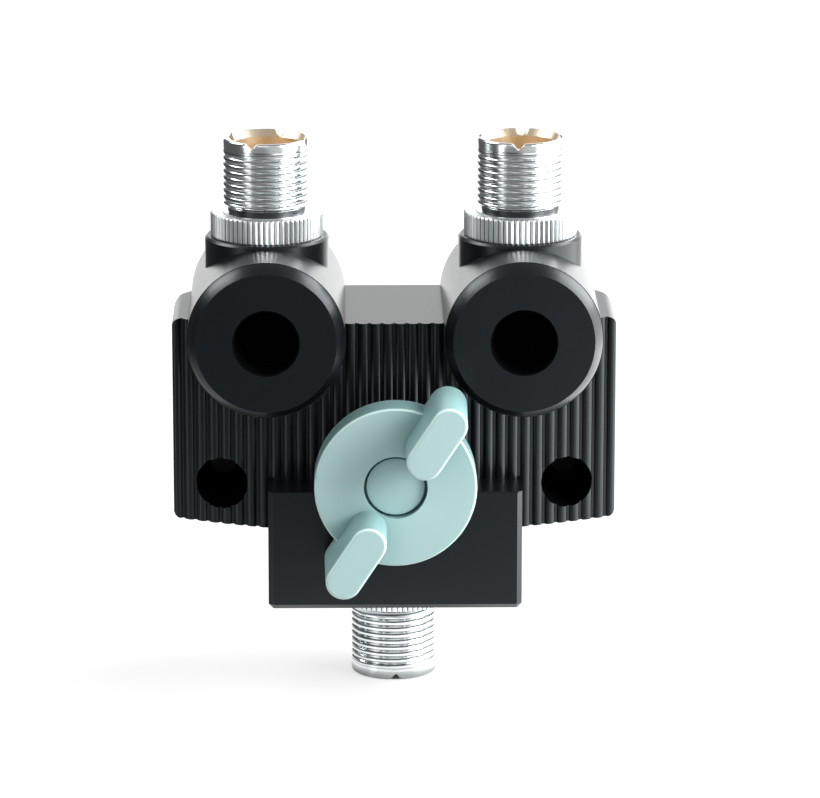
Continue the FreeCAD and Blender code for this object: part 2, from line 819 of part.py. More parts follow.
def knob_cap():
    """Snap-in cap: a small cup over the screw's head."""
    top = knob_face - cap_recess
    cup = rod(cap_r, top, hole_floor)
    return cup.cut(rod(cap_r - cap_skirt, top - cap_top, hole_floor))


def knob_screw():
    """Screw with a broad head that clamps the knob's web on the spindle."""
    head = rod(knob_screw_head_r, hole_floor + knob_screw_head, hole_floor)
    shank = rod(knob_screw_r, hole_floor, hole_floor - knob_screw_length)
    return head.fuse(shank).removeSplitter()


def build():
    """Every node's name and solid."""
    nodes = {
        "housing": housing(),
        "rear_cover": rear_cover(),
        "rear_cover_screws": rear_cover_screws(),
        "right_line": port_line(1),
        "left_line": port_line(-1),
        "common_line": common_line(),
        "line_standoffs": line_standoffs(),
        "line_screws": line_screws(),
        "spindle_bush": spindle_bush(),
        "stop_pin": stop_pin(),
        "detent_spring": detent_spring(),
        "detent_ball": detent_ball(),
        "knob": knob(),
        "knob_cap": knob_cap(),
        "knob_screw": knob_screw(),
        "spindle": spindle(),
        "thrust_washer": thrust_washer(),
        "detent_disc": detent_disc_plate(),
        "grounding_plate": grounding_plate(),
        "retaining_clip": retaining_clip(),
        "rotor_insulator": rotor_insulator(),
        "rotor_pin": rotor_pin(),
        "rotor_blade": rotor_blade(),
        "blade_rivets": blade_rivets(),
    }
    for port in ("right", "left", "common"):
        nodes[port + "_connector_shell"] = connector_shell(port)
        nodes[port + "_insulator"] = socket_insulator(port)
        nodes[port + "_centre_contact"] = centre_contact(port)
        nodes[port + "_knurled_ring"] = knurled_ring(port)
    return nodes


os.makedirs("parts", exist_ok=True)
for name, shape in build().items():
    shape.exportStep("parts/" + name + ".step")
    b = shape.BoundBox
    print("%-24s solids %d valid %s volume %.1f  x %.1f..%.1f  y %.1f..%.1f  z %.1f..%.1f" % (
        name, len(shape.Solids), shape.isValid(), shape.Volume,
        b.XMin, b.XMax, b.YMin, b.YMax, b.ZMin, b.ZMax))
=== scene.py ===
"""Two-way coaxial antenna switch, dressed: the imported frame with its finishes, threads and knurls.

Metres throughout. X runs to the right, Y to the back and Z up; the origin is midway between
the two wall-screw holes, on the flat back. Light and floor come at the end.
"""

from math import cos, pi, radians, sin

import bmesh
import bpy
import numpy as np
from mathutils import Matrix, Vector


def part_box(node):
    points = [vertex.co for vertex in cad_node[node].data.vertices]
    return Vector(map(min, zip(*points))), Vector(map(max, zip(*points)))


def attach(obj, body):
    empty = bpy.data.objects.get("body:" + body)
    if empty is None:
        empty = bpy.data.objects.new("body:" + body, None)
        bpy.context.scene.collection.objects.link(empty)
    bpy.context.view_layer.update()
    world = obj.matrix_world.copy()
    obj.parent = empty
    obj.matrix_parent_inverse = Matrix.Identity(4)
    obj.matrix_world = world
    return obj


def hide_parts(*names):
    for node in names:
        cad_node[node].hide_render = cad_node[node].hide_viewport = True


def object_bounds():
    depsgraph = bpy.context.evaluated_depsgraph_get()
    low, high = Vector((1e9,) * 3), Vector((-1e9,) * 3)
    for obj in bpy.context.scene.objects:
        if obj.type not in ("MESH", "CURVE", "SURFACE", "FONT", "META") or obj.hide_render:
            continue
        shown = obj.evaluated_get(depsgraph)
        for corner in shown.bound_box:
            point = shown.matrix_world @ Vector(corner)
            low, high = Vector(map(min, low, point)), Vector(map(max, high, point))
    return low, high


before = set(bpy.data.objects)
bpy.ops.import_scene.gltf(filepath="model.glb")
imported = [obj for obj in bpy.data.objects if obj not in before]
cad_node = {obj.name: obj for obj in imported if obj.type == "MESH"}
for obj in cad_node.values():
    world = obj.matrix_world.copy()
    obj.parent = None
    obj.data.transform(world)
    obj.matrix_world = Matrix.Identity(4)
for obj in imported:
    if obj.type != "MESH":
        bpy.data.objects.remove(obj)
cad_low, cad_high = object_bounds()

# ---------------------------------------------------------------------------------------------
# Housing. One zinc casting: a ribbed, crowned plate, two round barrels, their necks and the lower
# block. It is shot-blasted and sprayed satin black, so the skin is fine-grained under the paint,
# and the paint is a little thinner and greyer along the sharp edges.

PAINT_BLACK = (0.0014, 0.0021, 0.0028, 1.0)
PAINT_GREY = (0.0028, 0.0038, 0.0048, 1.0)
PAINT_THIN = (0.030, 0.033, 0.036, 1.0)
PAINT_SHEEN = (0.86, 0.96, 1.0, 1.0)
# Darker black with almost no shine: painted shade down the wells and recesses.
PAINT_SHADE_BLACK = (0.0012, 0.0014, 0.0016, 1.0)
PAINT_SHADE_GREY = (0.0020, 0.0022, 0.0024, 1.0)
PAINT_CLOUD = 0.018
PEEL_HEIGHT = 0.000006
THIN_REACH = 0.00035
THIN_GAIN = 1.6
THIN_SHARE = (0.1, 0.9)


def corners(label):
    """The lowest and highest corner of a frame piece, rounded to a hundredth of a micrometre."""
    return [[round(value, 8) for value in corner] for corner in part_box(label)]


ring_low, ring_high = corners("right_knurled_ring")
BARREL_X = (ring_low[0] + ring_high[0]) / 2
BARREL_Z = 0.0293
BAND_BACK = -0.0383
BAND_SLOPE = radians(59)
BAND_CROWN = 0.28
# Each region is a distance to either side, a height, and a radius about that axis along Y.
SCREW_WELLS = (0.0316, 0.0, 0.0049)
BARREL_RECESSES = (BARREL_X, BARREL_Z, 0.00615)
BARREL_FACES = (BARREL_X, BARREL_Z, 0.0126)
BARREL_BANDS = (BARREL_X, BARREL_Z, 0.01432)
# Corners closer than this are one corner. It is also the least length that is divided by.
MERGE = 0.0000001


def shader_group(name, inputs, outputs):
    """A new shader node group with the named float inputs and outputs, and its two end nodes."""
    tree = bpy.data.node_groups.new(name, "ShaderNodeTree")
    for way, labels in (("INPUT", inputs), ("OUTPUT", outputs)):
        for label in labels:
            tree.interface.new_socket(label, in_out=way, socket_type="NodeSocketFloat")
    return tree, tree.nodes.new("NodeGroupInput"), tree.nodes.new("NodeGroupOutput")


def node(tree, kind, settings=None, **sockets):
    """A node with its settings; each socket, named with _ for a space, gets a value or a link."""
    made = tree.nodes.new(kind)
    for label, value in (settings or {}).items():
        setattr(made, label, value)
    for label, value in sockets.items():
        spot = int(label[1:]) if label[0] == "_" else label.replace("_", " ")
        if isinstance(value, bpy.types.NodeSocket):
            tree.links.new(value, made.inputs[spot])
        else:
            made.inputs[spot].default_value = value
    return made


def maths(tree, operation, *values):
    """The output of a Math node on up to three values or links."""
    sockets = {"_%d" % k: value for k, value in enumerate(values)}
    return node(tree, "ShaderNodeMath", {"operation": operation}, **sockets).outputs[0]


def blend(tree, mask, low, high):
    """A colour between low and high, each a colour or a link, as the mask goes from 0 to 1."""
    mix = node(tree, "ShaderNodeMix", {"data_type": "RGBA"}, _0=mask, _6=low, _7=high)
    return mix.outputs[2]


def grain_group():
    """Grain: two sizes of smooth noise added up, 0 to 1, and a slow cloud over the whole piece."""
    tree, put_in, put_out = shader_group("grain", ("Size", "Cloud Size"), ("Grain", "Cloud"))
    place = node(tree, "ShaderNodeTexCoord").outputs["Object"]
    fine = maths(tree, "DIVIDE", 1.0, put_in.outputs["Size"])
    slow = maths(tree, "DIVIDE", 1.0, put_in.outputs["Cloud Size"])
    small = node(tree, "ShaderNodeTexNoise", Vector=place, Scale=fine, Detail=2.0, Roughness=0.55)
    large = node(tree, "ShaderNodeTexNoise", Vector=place, Scale=slow, Detail=3.0, Roughness=0.5)
    tree.links.new(small.outputs["Fac"], put_out.inputs["Grain"])
    tree.links.new(large.outputs["Fac"], put_out.inputs["Cloud"])
    return tree


def edge_group():
    """Edges: how far the normal turns within a small radius, 0 on a flat and 1 at a sharp edge."""
    tree, put_in, put_out = shader_group("edges", ("Reach", "Gain"), ("Edge",))
    bevel = node(tree, "ShaderNodeBevel", {"samples": 4}, Radius=put_in.outputs["Reach"])
    flat = node(tree, "ShaderNodeNewGeometry").outputs["Normal"]
    same = node(tree, "ShaderNodeVectorMath", {"operation": "DOT_PRODUCT"}, _0=bevel.outputs[0], _1=flat)
    turn = maths(tree, "SUBTRACT", 1.0, same.outputs["Value"])
    gained = node(tree, "ShaderNodeMath", {"operation": "MULTIPLY", "use_clamp": True}, _0=turn,
                  _1=put_in.outputs["Gain"])
    tree.links.new(gained.outputs[0], put_out.inputs["Edge"])
    return tree


GRAIN = grain_group()
EDGES = edge_group()


def material(name, **sockets):
    """A material whose shader has these constant values; returns it with its tree and shader."""
    made = bpy.data.materials.new(name)
    made.use_nodes = True
    tree = made.node_tree
    shader = tree.nodes["Principled BSDF"]
    for label, value in sockets.items():
        shader.inputs[label.replace("_", " ")].default_value = value
    return made, tree, shader


def use_group(tree, group, **sockets):
    """The outputs of a node group placed in a material with its own values."""
    return node(tree, "ShaderNodeGroup", {"node_tree": group}, **sockets).outputs


def spread(tree, value, low, high):
    """A value of 0 to 1 carried to between low and high."""
    return node(tree, "ShaderNodeMapRange", Value=value, To_Min=low, To_Max=high).outputs["Result"]


def uneven_shine(tree, shader, grain, roughness, less=0.04, more=0.05):
    """The shader's roughness, a little less in the grain's valleys and more on its tops."""
    tree.links.new(spread(tree, grain, roughness - less, roughness + more), shader.inputs["Roughness"])


def ease(tree, value, span, ends=(0.0, 1.0)):
    """A value eased from one end to the other over a span."""
    eased = node(tree, "ShaderNodeMapRange", {"interpolation_type": "SMOOTHSTEP"}, Value=value,
                 From_Min=span[0], From_Max=span[1], To_Min=ends[0], To_Max=ends[1])
    return eased.outputs["Result"]


def bump(tree, shader, height, distance):
    """The shader's normal, pushed by a height over a distance in metres."""
    made = node(tree, "ShaderNodeBump", Height=height, Distance=distance)
    tree.links.new(made.outputs["Normal"], shader.inputs["Normal"])


def black_paint(name, grain_size, roughness, black=PAINT_BLACK, grey=PAINT_GREY, shine=0.36, ior=1.5):
    """Satin black sprayed on a blasted casting: orange peel, faint clouds, greyer thin edges."""
    made, tree, shader = material(name, Specular_IOR_Level=shine, Specular_Tint=PAINT_SHEEN, IOR=ior)
    grain = use_group(tree, GRAIN, Size=grain_size, Cloud_Size=PAINT_CLOUD)
    edge = use_group(tree, EDGES, Reach=THIN_REACH, Gain=THIN_GAIN)["Edge"]
    flat = blend(tree, grain["Cloud"], black, grey)
    thin = maths(tree, "MULTIPLY", edge, spread(tree, grain["Cloud"], *THIN_SHARE))
    tree.links.new(blend(tree, thin, flat, PAINT_THIN), shader.inputs["Base Color"])
    uneven_shine(tree, shader, grain["Grain"], roughness)
    bump(tree, shader, grain["Grain"], PEEL_HEIGHT)
    return made


def finish(label, made):
    """Give a frame node its finished material in every slot."""
    for slot in cad_node[label].material_slots:
        slot.material = made


def read(items, label, width=3, kind=np.float32):
    """One property of a mesh's items as rows of numbers."""
    values = np.empty(len(items) * width, kind)
    items.foreach_get(label, values)
    return values.reshape(-1, width)


def within(places, region):
    """True where a point lies in a region: a distance to either side, a height and a radius."""
    across, up, radius = region
    return np.hypot(abs(places[..., 0]) - across, places[..., 2] - up) < radius


def evened_bands(places, normals):
    """The corner normals, where the paint evens the crown of the barrels' front bands.

    There the normal's angle from the front becomes slope + share x (angle - slope), with the
    band's own slope; its way round the barrel stays.
    """
    middles = places.mean(1)
    ring = within(middles, BARREL_BANDS) & ~within(middles, BARREL_FACES)
    band = ring & (middles[:, 1] < BAND_BACK)
    x, y, z = np.moveaxis(normals[band], -1, 0)
    out = np.maximum(np.hypot(x, z), MERGE)
    tilt = BAND_SLOPE + BAND_CROWN * (np.arctan2(out, -y) - BAND_SLOPE)
    evened = normals.copy()
    evened[band] = np.stack([x / out * np.sin(tilt), -np.cos(tilt), z / out * np.sin(tilt)], -1)
    return evened


def casting():
    """The housing's own triangles, with equal corners merged and their smooth normals kept, but for the front
    bands. Triangles that lie wholly within the wells' and recesses' radii get a darker black with almost no
    shine, as painted shade down the holes.
    """
    cad = cad_node["housing"].data
    corner = read(cad.loops, "vertex_index", 1, np.int32).ravel()
    steps = np.round(read(cad.vertices, "co") / MERGE).astype(int)
    spots, merged = np.unique(steps, axis=0, return_inverse=True)
    faces = merged.ravel()[corner].reshape(-1, 3)
    whole = (faces != np.roll(faces, 1, 1)).all(1)
    faces = faces[whole]
    normals = read(cad.corner_normals, "vector").reshape(-1, 3, 3)[whole]
    mesh = bpy.data.meshes.new("casting")
    mesh.from_pydata((spots * MERGE).tolist(), [], faces.tolist())
    mesh.materials.append(black_paint("satin black paint", 0.00045, 0.30))
    # Painted shade: the wells and recesses are made near black, as if no light reached down them.
    mesh.materials.append(black_paint("painted shade down the holes", 0.0003, 0.70, PAINT_SHADE_BLACK,
                                      PAINT_SHADE_GREY, shine=0.05, ior=1.05))
    places = (spots * MERGE)[faces]
    down = within(places, SCREW_WELLS).all(1) | within(places, BARREL_RECESSES).all(1)
    mesh.polygons.foreach_set("material_index", down.astype(np.int32))
    mesh.polygons.foreach_set("use_smooth", np.full(len(faces), True))
    mesh.normals_split_custom_set(evened_bands(places, normals).reshape(-1, 3))
    piece = bpy.data.objects.new("casting", mesh)
    bpy.context.scene.collection.objects.link(piece)
    return piece


painted = casting()
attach(painted, "case")
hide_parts("housing")

# ---------------------------------------------------------------------------------------------
# Rear cover and its five countersunk screws. A stamped steel plate, painted with the casting,
# let into the back and held flush by small cross-head screws of zinc-plated steel.

finish("rear_cover", black_paint("cover paint", 0.0003, 0.42))

ZINC = (0.44, 0.45, 0.46, 1.0)
ZINC_DULL = (0.32, 0.33, 0.34, 1.0)
PLATE_GRAIN = 0.0006
PLATE_CLOUD = 0.006
LATHE_PITCH = 0.00008
LATHE_DEPTH = 0.0000015
LATHE_SHARE = 0.012
SCREW_PLACES = ((0.0, 0.02535), (0.0245, 0.0128), (-0.0245, 0.0128), (0.0165, -0.0142), (-0.0165, -0.0142))
SCREW_TURN = 17
SCREW_TURN_STEP = 31
SCREW_LENGTH = -corners("rear_cover_screws")[0][1]
SHANK_R = 0.00125
HEAD_R = 0.0023
HEAD_CONE = 0.00105
HEAD_EDGE = 0.00005
TIP_R = 0.0007
TIP_LENGTH = 0.0004
CROSS_HALF = 0.00026
CROSS_REACH = 0.00135
CROSS_DEPTH = 0.0009
CROSS_WALL = 0.00005
CROSS_FALL = 0.0005
CROSS_ZONE = 0.0016
AXIS_GAP = 0.00002
DOUBLES = 0.0000008
SLIVERS = 0.0000004


def lathe_group():
    """Lathe marks: noise stretched sideways, so that it changes almost only with height."""
    tree, put_in, put_out = shader_group("lathe marks", ("Pitch",), ("Marks",))
    place = node(tree, "ShaderNodeTexCoord").outputs["Object"]
    split = node(tree, "ShaderNodeSeparateXYZ", Vector=place).outputs
    fine = maths(tree, "DIVIDE", 1.0, put_in.outputs["Pitch"])
    slow = maths(tree, "MULTIPLY", fine, LATHE_SHARE)
    line = node(tree, "ShaderNodeCombineXYZ", X=maths(tree, "MULTIPLY", split["X"], slow),
                Y=maths(tree, "MULTIPLY", split["Y"], slow), Z=maths(tree, "MULTIPLY", split["Z"], fine))
    noise = node(tree, "ShaderNodeTexNoise", Vector=line.outputs[0], Scale=1.0, Detail=2.0)
    tree.links.new(noise.outputs["Fac"], put_out.inputs["Marks"])
    return tree


LATHE = lathe_group()


def plated(name, bright, dull, roughness):
    """Plated metal: two close shades, fine machining marks and a slightly uneven shine."""
    made, tree, shader = material(name, Metallic=1.0)
    grain = use_group(tree, GRAIN, Size=PLATE_GRAIN, Cloud_Size=PLATE_CLOUD)
    lines = use_group(tree, LATHE, Pitch=LATHE_PITCH)["Marks"]
    tree.links.new(blend(tree, grain["Cloud"], bright, dull), shader.inputs["Base Color"])
    uneven_shine(tree, shader, grain["Grain"], roughness, less=0.05, more=0.07)
    bump(tree, shader, lines, LATHE_DEPTH)
    return made


zinc = plated("zinc plating", ZINC, ZINC_DULL, 0.34)


def mesh_piece(name, points, faces, materials, face_material=None):
    """One object at the origin from vertex and face arrays, with doubles merged and faces outward.

    A face that names a corner twice keeps it once.
    """
    mesh = bpy.data.meshes.new(name)
    mesh.from_pydata(points.tolist(), [], [list(dict.fromkeys(face)) for face in faces.tolist()])
    for made in materials:
        mesh.materials.append(made)
    if face_material is not None:
        mesh.polygons.foreach_set("material_index", face_material.astype(np.int32))
    work = bmesh.new()
    work.from_mesh(mesh)
    bmesh.ops.remove_doubles(work, verts=work.verts, dist=DOUBLES)
    bmesh.ops.dissolve_degenerate(work, edges=work.edges, dist=SLIVERS)
    bmesh.ops.recalc_face_normals(work, faces=work.faces)
    work.to_mesh(mesh)
    work.free()
    mesh.polygons.foreach_set("use_smooth", np.full(len(mesh.polygons), True))
    piece = bpy.data.objects.new(name, mesh)
    bpy.context.scene.collection.objects.link(piece)
    return piece


def quads(rows, columns, wrap=True):
    """Vertex numbers of a grid's quads, row by row; wrap joins its last column to its first."""
    row = np.arange(rows - 1)[:, None]
    column = np.arange(columns if wrap else columns - 1)[None, :]
    right = (column + 1) % columns
    corners = (row * columns + column, row * columns + right, (row + 1) * columns + right,
               (row + 1) * columns + column)
    return np.stack([np.broadcast_to(c, (rows - 1, column.size)) for c in corners], -1).reshape(-1, 4)


def soft_edges(piece, angle):
    """Keep edges sharper than an angle crisp in the smooth shading."""
    piece.data.set_sharp_from_angle(angle=radians(angle))


def fan(row, end):
    """Triangles from a closed row of vertices to one end, as quads that name the end twice."""
    tip = np.full(len(row), end)
    return np.stack([row, np.roll(row, -1), tip, tip], -1)


def cover_screws():
    """Each screw is a profile turned about Y; its flat top sinks into a cross where |u| or |v| is small.

    The cross is a height over the head: full depth inside two crossed slots, falling off along
    their length, and zero outside them.
    """
    count = 96
    angle = np.arange(count) / count * 2 * pi
    radii = np.concatenate([np.linspace(AXIS_GAP, CROSS_ZONE, 30),
                            np.linspace(CROSS_ZONE + 0.0001, HEAD_R - 0.00008, 5)])
    radius, turn = np.meshgrid(radii, angle, indexing="ij")
    u, v = radius * np.cos(turn), radius * np.sin(turn)
    in_slot = np.clip((CROSS_HALF - np.minimum(abs(u), abs(v))) / CROSS_WALL + 0.5, 0, 1)
    along = np.clip((CROSS_REACH - np.maximum(abs(u), abs(v))) / CROSS_FALL, 0, 1)
    top = -CROSS_DEPTH * in_slot * along
    side = np.array([(HEAD_R, HEAD_EDGE), (SHANK_R, HEAD_CONE), (SHANK_R, SCREW_LENGTH - TIP_LENGTH),
                     (TIP_R, SCREW_LENGTH), (AXIS_GAP / 2, SCREW_LENGTH)])
    side_r, side_depth = side[:, :1], side[:, 1:]
    across = np.concatenate([u, side_r * np.cos(angle)]).ravel()
    up = np.concatenate([v, side_r * np.sin(angle)]).ravel()
    deep = np.concatenate([top, -side_depth + 0 * angle]).ravel()
    ends = [[0, -CROSS_DEPTH, 0], [0, -SCREW_LENGTH, 0]]
    one = np.concatenate([np.stack([across, deep, up], -1), ends])
    rows = len(radii) + len(side)
    top_end = rows * count
    top_row, low_row = np.arange(count), np.arange(top_end - count, top_end)
    one_faces = np.concatenate([quads(rows, count), fan(top_row, top_end), fan(low_row, top_end + 1)])
    points, faces = [], []
    for k, (x, z) in enumerate(SCREW_PLACES):
        tilt = radians(SCREW_TURN + SCREW_TURN_STEP * k)
        points.append(np.stack([x + one[:, 0] * cos(tilt) - one[:, 2] * sin(tilt), one[:, 1],
                                z + one[:, 0] * sin(tilt) + one[:, 2] * cos(tilt)], -1))
        faces.append(one_faces + k * len(one))
    return np.concatenate(points), np.concatenate(faces)


points, faces = cover_screws()
screws = mesh_piece("cover_screws", points, faces, [zinc])
soft_edges(screws, 30)
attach(screws, "case")
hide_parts("rear_cover_screws")

# ---------------------------------------------------------------------------------------------
# Threaded sockets. Three brass tubes turned on a lathe, with a right-hand thread outside, an
# undercut below it, a rim with an inner cone and four milled notches, bright nickel outside and
# gold-brown inside where the plug's nose makes contact. Each is pressed into its seat.

NICKEL = (0.78, 0.805, 0.81, 1.0)
NICKEL_DULL = (0.60, 0.635, 0.645, 1.0)
GILT = (0.90, 0.78, 0.61, 1.0)
GILT_DULL = (0.70, 0.54, 0.36, 1.0)
# Darker nickel for painted shade in the thread grooves and the knurl's roots.
GROOVE_SHADE = (0.22, 0.24, 0.245, 1.0)
GROOVE_SHADE_DARK = (0.11, 0.125, 0.13, 1.0)
# Near black nickel for painted shade in the undercut below the thread.
UNDERCUT_SHADE = (0.060, 0.066, 0.068, 1.0)
UNDERCUT_SHADE_DARK = (0.035, 0.038, 0.040, 1.0)

shell_low, shell_high = corners("right_connector_shell")
PORT_FRONT = -(ring_low[1] + ring_high[1]) / 2
NECK_TOP = ring_low[2]
BLOCK_FOOT = corners("common_knurled_ring")[1][2]
RING_HEIGHT = ring_high[2] - ring_low[2]
PORT_HEIGHT = shell_high[2] - NECK_TOP
PORT_SEAT = NECK_TOP - shell_low[2]
ROOT_R = (shell_high[0] - shell_low[0]) / 2
CREST_R = 0.0079
GROOVE_R = 0.00746
UNDERCUT_R = 0.0071
THREAD_PITCH = 0.00121
THREAD_START = 0.0055
THREAD_END = 0.0164
THREAD_FADE = 1.3 * THREAD_PITCH
THREAD_LEAD = 0.5 * THREAD_PITCH
CREST_SHARE = 0.40
CREST_SAG = 0.06
GROOVE_CURVE = 1.6
# Share of each thread turn, round its root, that takes the painted shade.
SHADED_ROOT_SHARE = 0.42
MOUTH_R = 0.0072
SOCKET_R = 0.0062
SOCKET_DEPTH = 0.007
BEAD_R = 0.0060
LIP_R = 0.0052
LIP_HEIGHT = 0.001
FOOT_CHAMFER = 0.0003
UNDERCUT_STEP = 0.00025
UNDERCUT_END = 0.0002
NOTCH_HALF = 0.0010
NOTCH_DEPTH = 0.0012
NOTCH_LAND = 0.12
NOTCH_ZONE = 0.0025
# Radii and depths below the top: over the rim to the mouth, then down the gilt wall to the bead.
RIM = ((CREST_R, 0.00045), (CREST_R - 0.00006, 0.0003), (CREST_R - 0.0002, 0.00008),
       (CREST_R - 0.00032, 0.0), (MOUTH_R + 0.0001, 0.0))
GILT_WALL = ((MOUTH_R, 0.00006), (SOCKET_R + 0.0003, 0.0011), (SOCKET_R, 0.0013), (SOCKET_R, 0.0022),
             (SOCKET_R, 0.004), (SOCKET_R, SOCKET_DEPTH), (BEAD_R, SOCKET_DEPTH))


def port_place(points, port):
    """Carry points drawn on +Z with the seat at zero to one of the three seats."""
    if port == "common":
        return points * (1, -1, -1) + (0, -PORT_FRONT, BLOCK_FOOT)
    return points + (BARREL_X if port == "right" else -BARREL_X, -PORT_FRONT, NECK_TOP)


def thread_depth(turns):
    """Groove depth, 0 to 1, over a turn of the thread: a broad crest that rounds off into a V root."""
    from_crest = abs(turns % 1.0 - 0.5) * 2.0
    slope = np.clip((from_crest - CREST_SHARE) / (1.0 - CREST_SHARE), 0, 1)
    return CREST_SAG * from_crest ** 2 + (1.0 - CREST_SAG) * slope ** GROOVE_CURVE


def shell_surface(notch_turn):
    """A closed profile turned about Z. Its threaded stretch follows a helix: height is
    start + pitch x (turns up the wall + angle / full turn), so each row of the grid climbs one
    pitch on its way round and joins the row one turn above it. The rim is cut off at a height that
    dips in a V at the four notches.
    """
    count, per_turn = 144, 12
    angle = np.arange(count) / count * 2 * pi
    lip = LIP_HEIGHT - PORT_SEAT
    below = [(BEAD_R, PORT_HEIGHT - SOCKET_DEPTH), (BEAD_R, lip), (LIP_R, lip), (LIP_R, -PORT_SEAT),
             (ROOT_R - FOOT_CHAMFER, -PORT_SEAT), (ROOT_R, FOOT_CHAMFER - PORT_SEAT),
             (ROOT_R, RING_HEIGHT + 0.0001), (UNDERCUT_R, RING_HEIGHT + UNDERCUT_STEP),
             (UNDERCUT_R, THREAD_START - UNDERCUT_END)]
    cycles = int((THREAD_END - THREAD_START) / THREAD_PITCH + 2)
    turns = np.arange(0, cycles * per_turn + 1) / per_turn - 1.0
    climb = turns[:, None] + angle[None, :] / (2 * pi)
    height = np.clip(THREAD_START + THREAD_PITCH * climb, THREAD_START, THREAD_END)
    fade = np.clip((THREAD_END - height) / THREAD_FADE, 0, 1)
    lead = np.clip((height - THREAD_START) / THREAD_LEAD, 0, 1)
    crest = UNDERCUT_R + (CREST_R - UNDERCUT_R) * lead
    groove = (CREST_R - GROOVE_R) * thread_depth(climb) * fade * lead
    above = [(CREST_R, THREAD_END + 0.0003), (CREST_R, THREAD_END + 0.0009)]
    above += [(r, PORT_HEIGHT - depth) for r, depth in RIM + GILT_WALL]
    low_r, low_z = np.split(np.array(below), 2, 1)
    top_r, top_z = np.split(np.array(above), 2, 1)
    radius = np.concatenate([low_r + 0 * angle, crest - groove, top_r + 0 * angle])
    level = np.concatenate([low_z + 0 * angle, height, top_z + 0 * angle])
    side = np.round((angle - notch_turn) / (pi / 2)) * (pi / 2) + notch_turn
    off = abs(np.sin(angle - side))[None, :] * radius
    dip = NOTCH_DEPTH * np.clip((NOTCH_HALF - off) / NOTCH_HALF + NOTCH_LAND, 0, 1)
    cut = level > PORT_HEIGHT - NOTCH_ZONE
    level = np.where(cut, np.minimum(level, PORT_HEIGHT - dip), level)
    points = np.stack([radius * np.cos(angle), radius * np.sin(angle), level], -1)
    rows = len(radius)
    faces = quads(rows, count, wrap=False)
    first, last = len(below), len(below) + len(turns) - 1
    row = np.arange(rows)
    threaded = (row >= first) & (row <= last)
    partner = np.where(threaded, np.minimum(row + per_turn, last), row) * count
    end = row * count + count - 1
    faces = np.concatenate([faces, np.stack([end[:-1], partner[:-1], partner[1:], end[1:]], -1)])
    inner = rows - len(GILT_WALL)
    face_row = np.concatenate([np.repeat(row[:-1], count - 1), row[:-1]])
    gilt_face = (face_row >= inner) | (face_row < 1)
    phase = (face_row - first + 0.5) / per_turn % 1.0
    # Faces round each thread's root take the painted shade.
    root = (face_row >= first) & (face_row < last) & (abs(phase - 0.5) > SHADED_ROOT_SHARE)
    # The undercut's rows take the painted shade.
    undercut = (face_row >= first - 2) & (face_row < first)
    return points.reshape(-1, 3), faces, np.select([gilt_face, undercut, root], [1, 3, 2], 0)


nickel = plated("bright nickel", NICKEL, NICKEL_DULL, 0.19)
gilt = plated("gilt socket wall", GILT, GILT_DULL, 0.32)
# Painted shade: the thread grooves get a darker nickel.
groove_shade = plated("painted shade in the thread grooves", GROOVE_SHADE, GROOVE_SHADE_DARK, 0.34)
# Painted shade: the undercut gets a near black nickel.
undercut_shade = plated("painted shade in the undercut", UNDERCUT_SHADE, UNDERCUT_SHADE_DARK, 0.34)
# Each socket was pressed in as it came, so its four notches stand at their own angle from the front.
NOTCH_TURNS = {"right": radians(-90 - 4.8), "left": radians(-90 - 21.5), "common": radians(-90 - 2.3)}
for port, notch_turn in NOTCH_TURNS.items():
    points, faces, face_finish = shell_surface(notch_turn)
    shell = mesh_piece(port + "_threaded_shell", port_place(points, port), faces,
                       [nickel, gilt, groove_shade, undercut_shade], face_material=face_finish)
    soft_edges(shell, 40)
    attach(shell, "case")
    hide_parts(port + "_connector_shell")

# ---------------------------------------------------------------------------------------------
# Knurled collars. Turned rings under each socket with straight knurling, chamfered at both ends,
# nickel plated with the sockets.

# Painted shade in the knurl's roots: its colour, and the share of each tooth it covers.
KNURL_SHADE = (0.06, 0.065, 0.065, 1.0)
KNURL_SHADE_SHARE = 0.115
RING_R = (ring_high[0] - ring_low[0]) / 2
RING_BORE_GAP = 0.00005
RING_CHAMFER = 0.00026
RING_ROWS = (0.0, 0.00002, 0.0001, 0.00018, RING_CHAMFER, RING_CHAMFER + 0.0001, 0.0012, 0.0022)
TEETH = 64
TOOTH_DEPTH = 0.00032
TIP_ROUND = 0.1


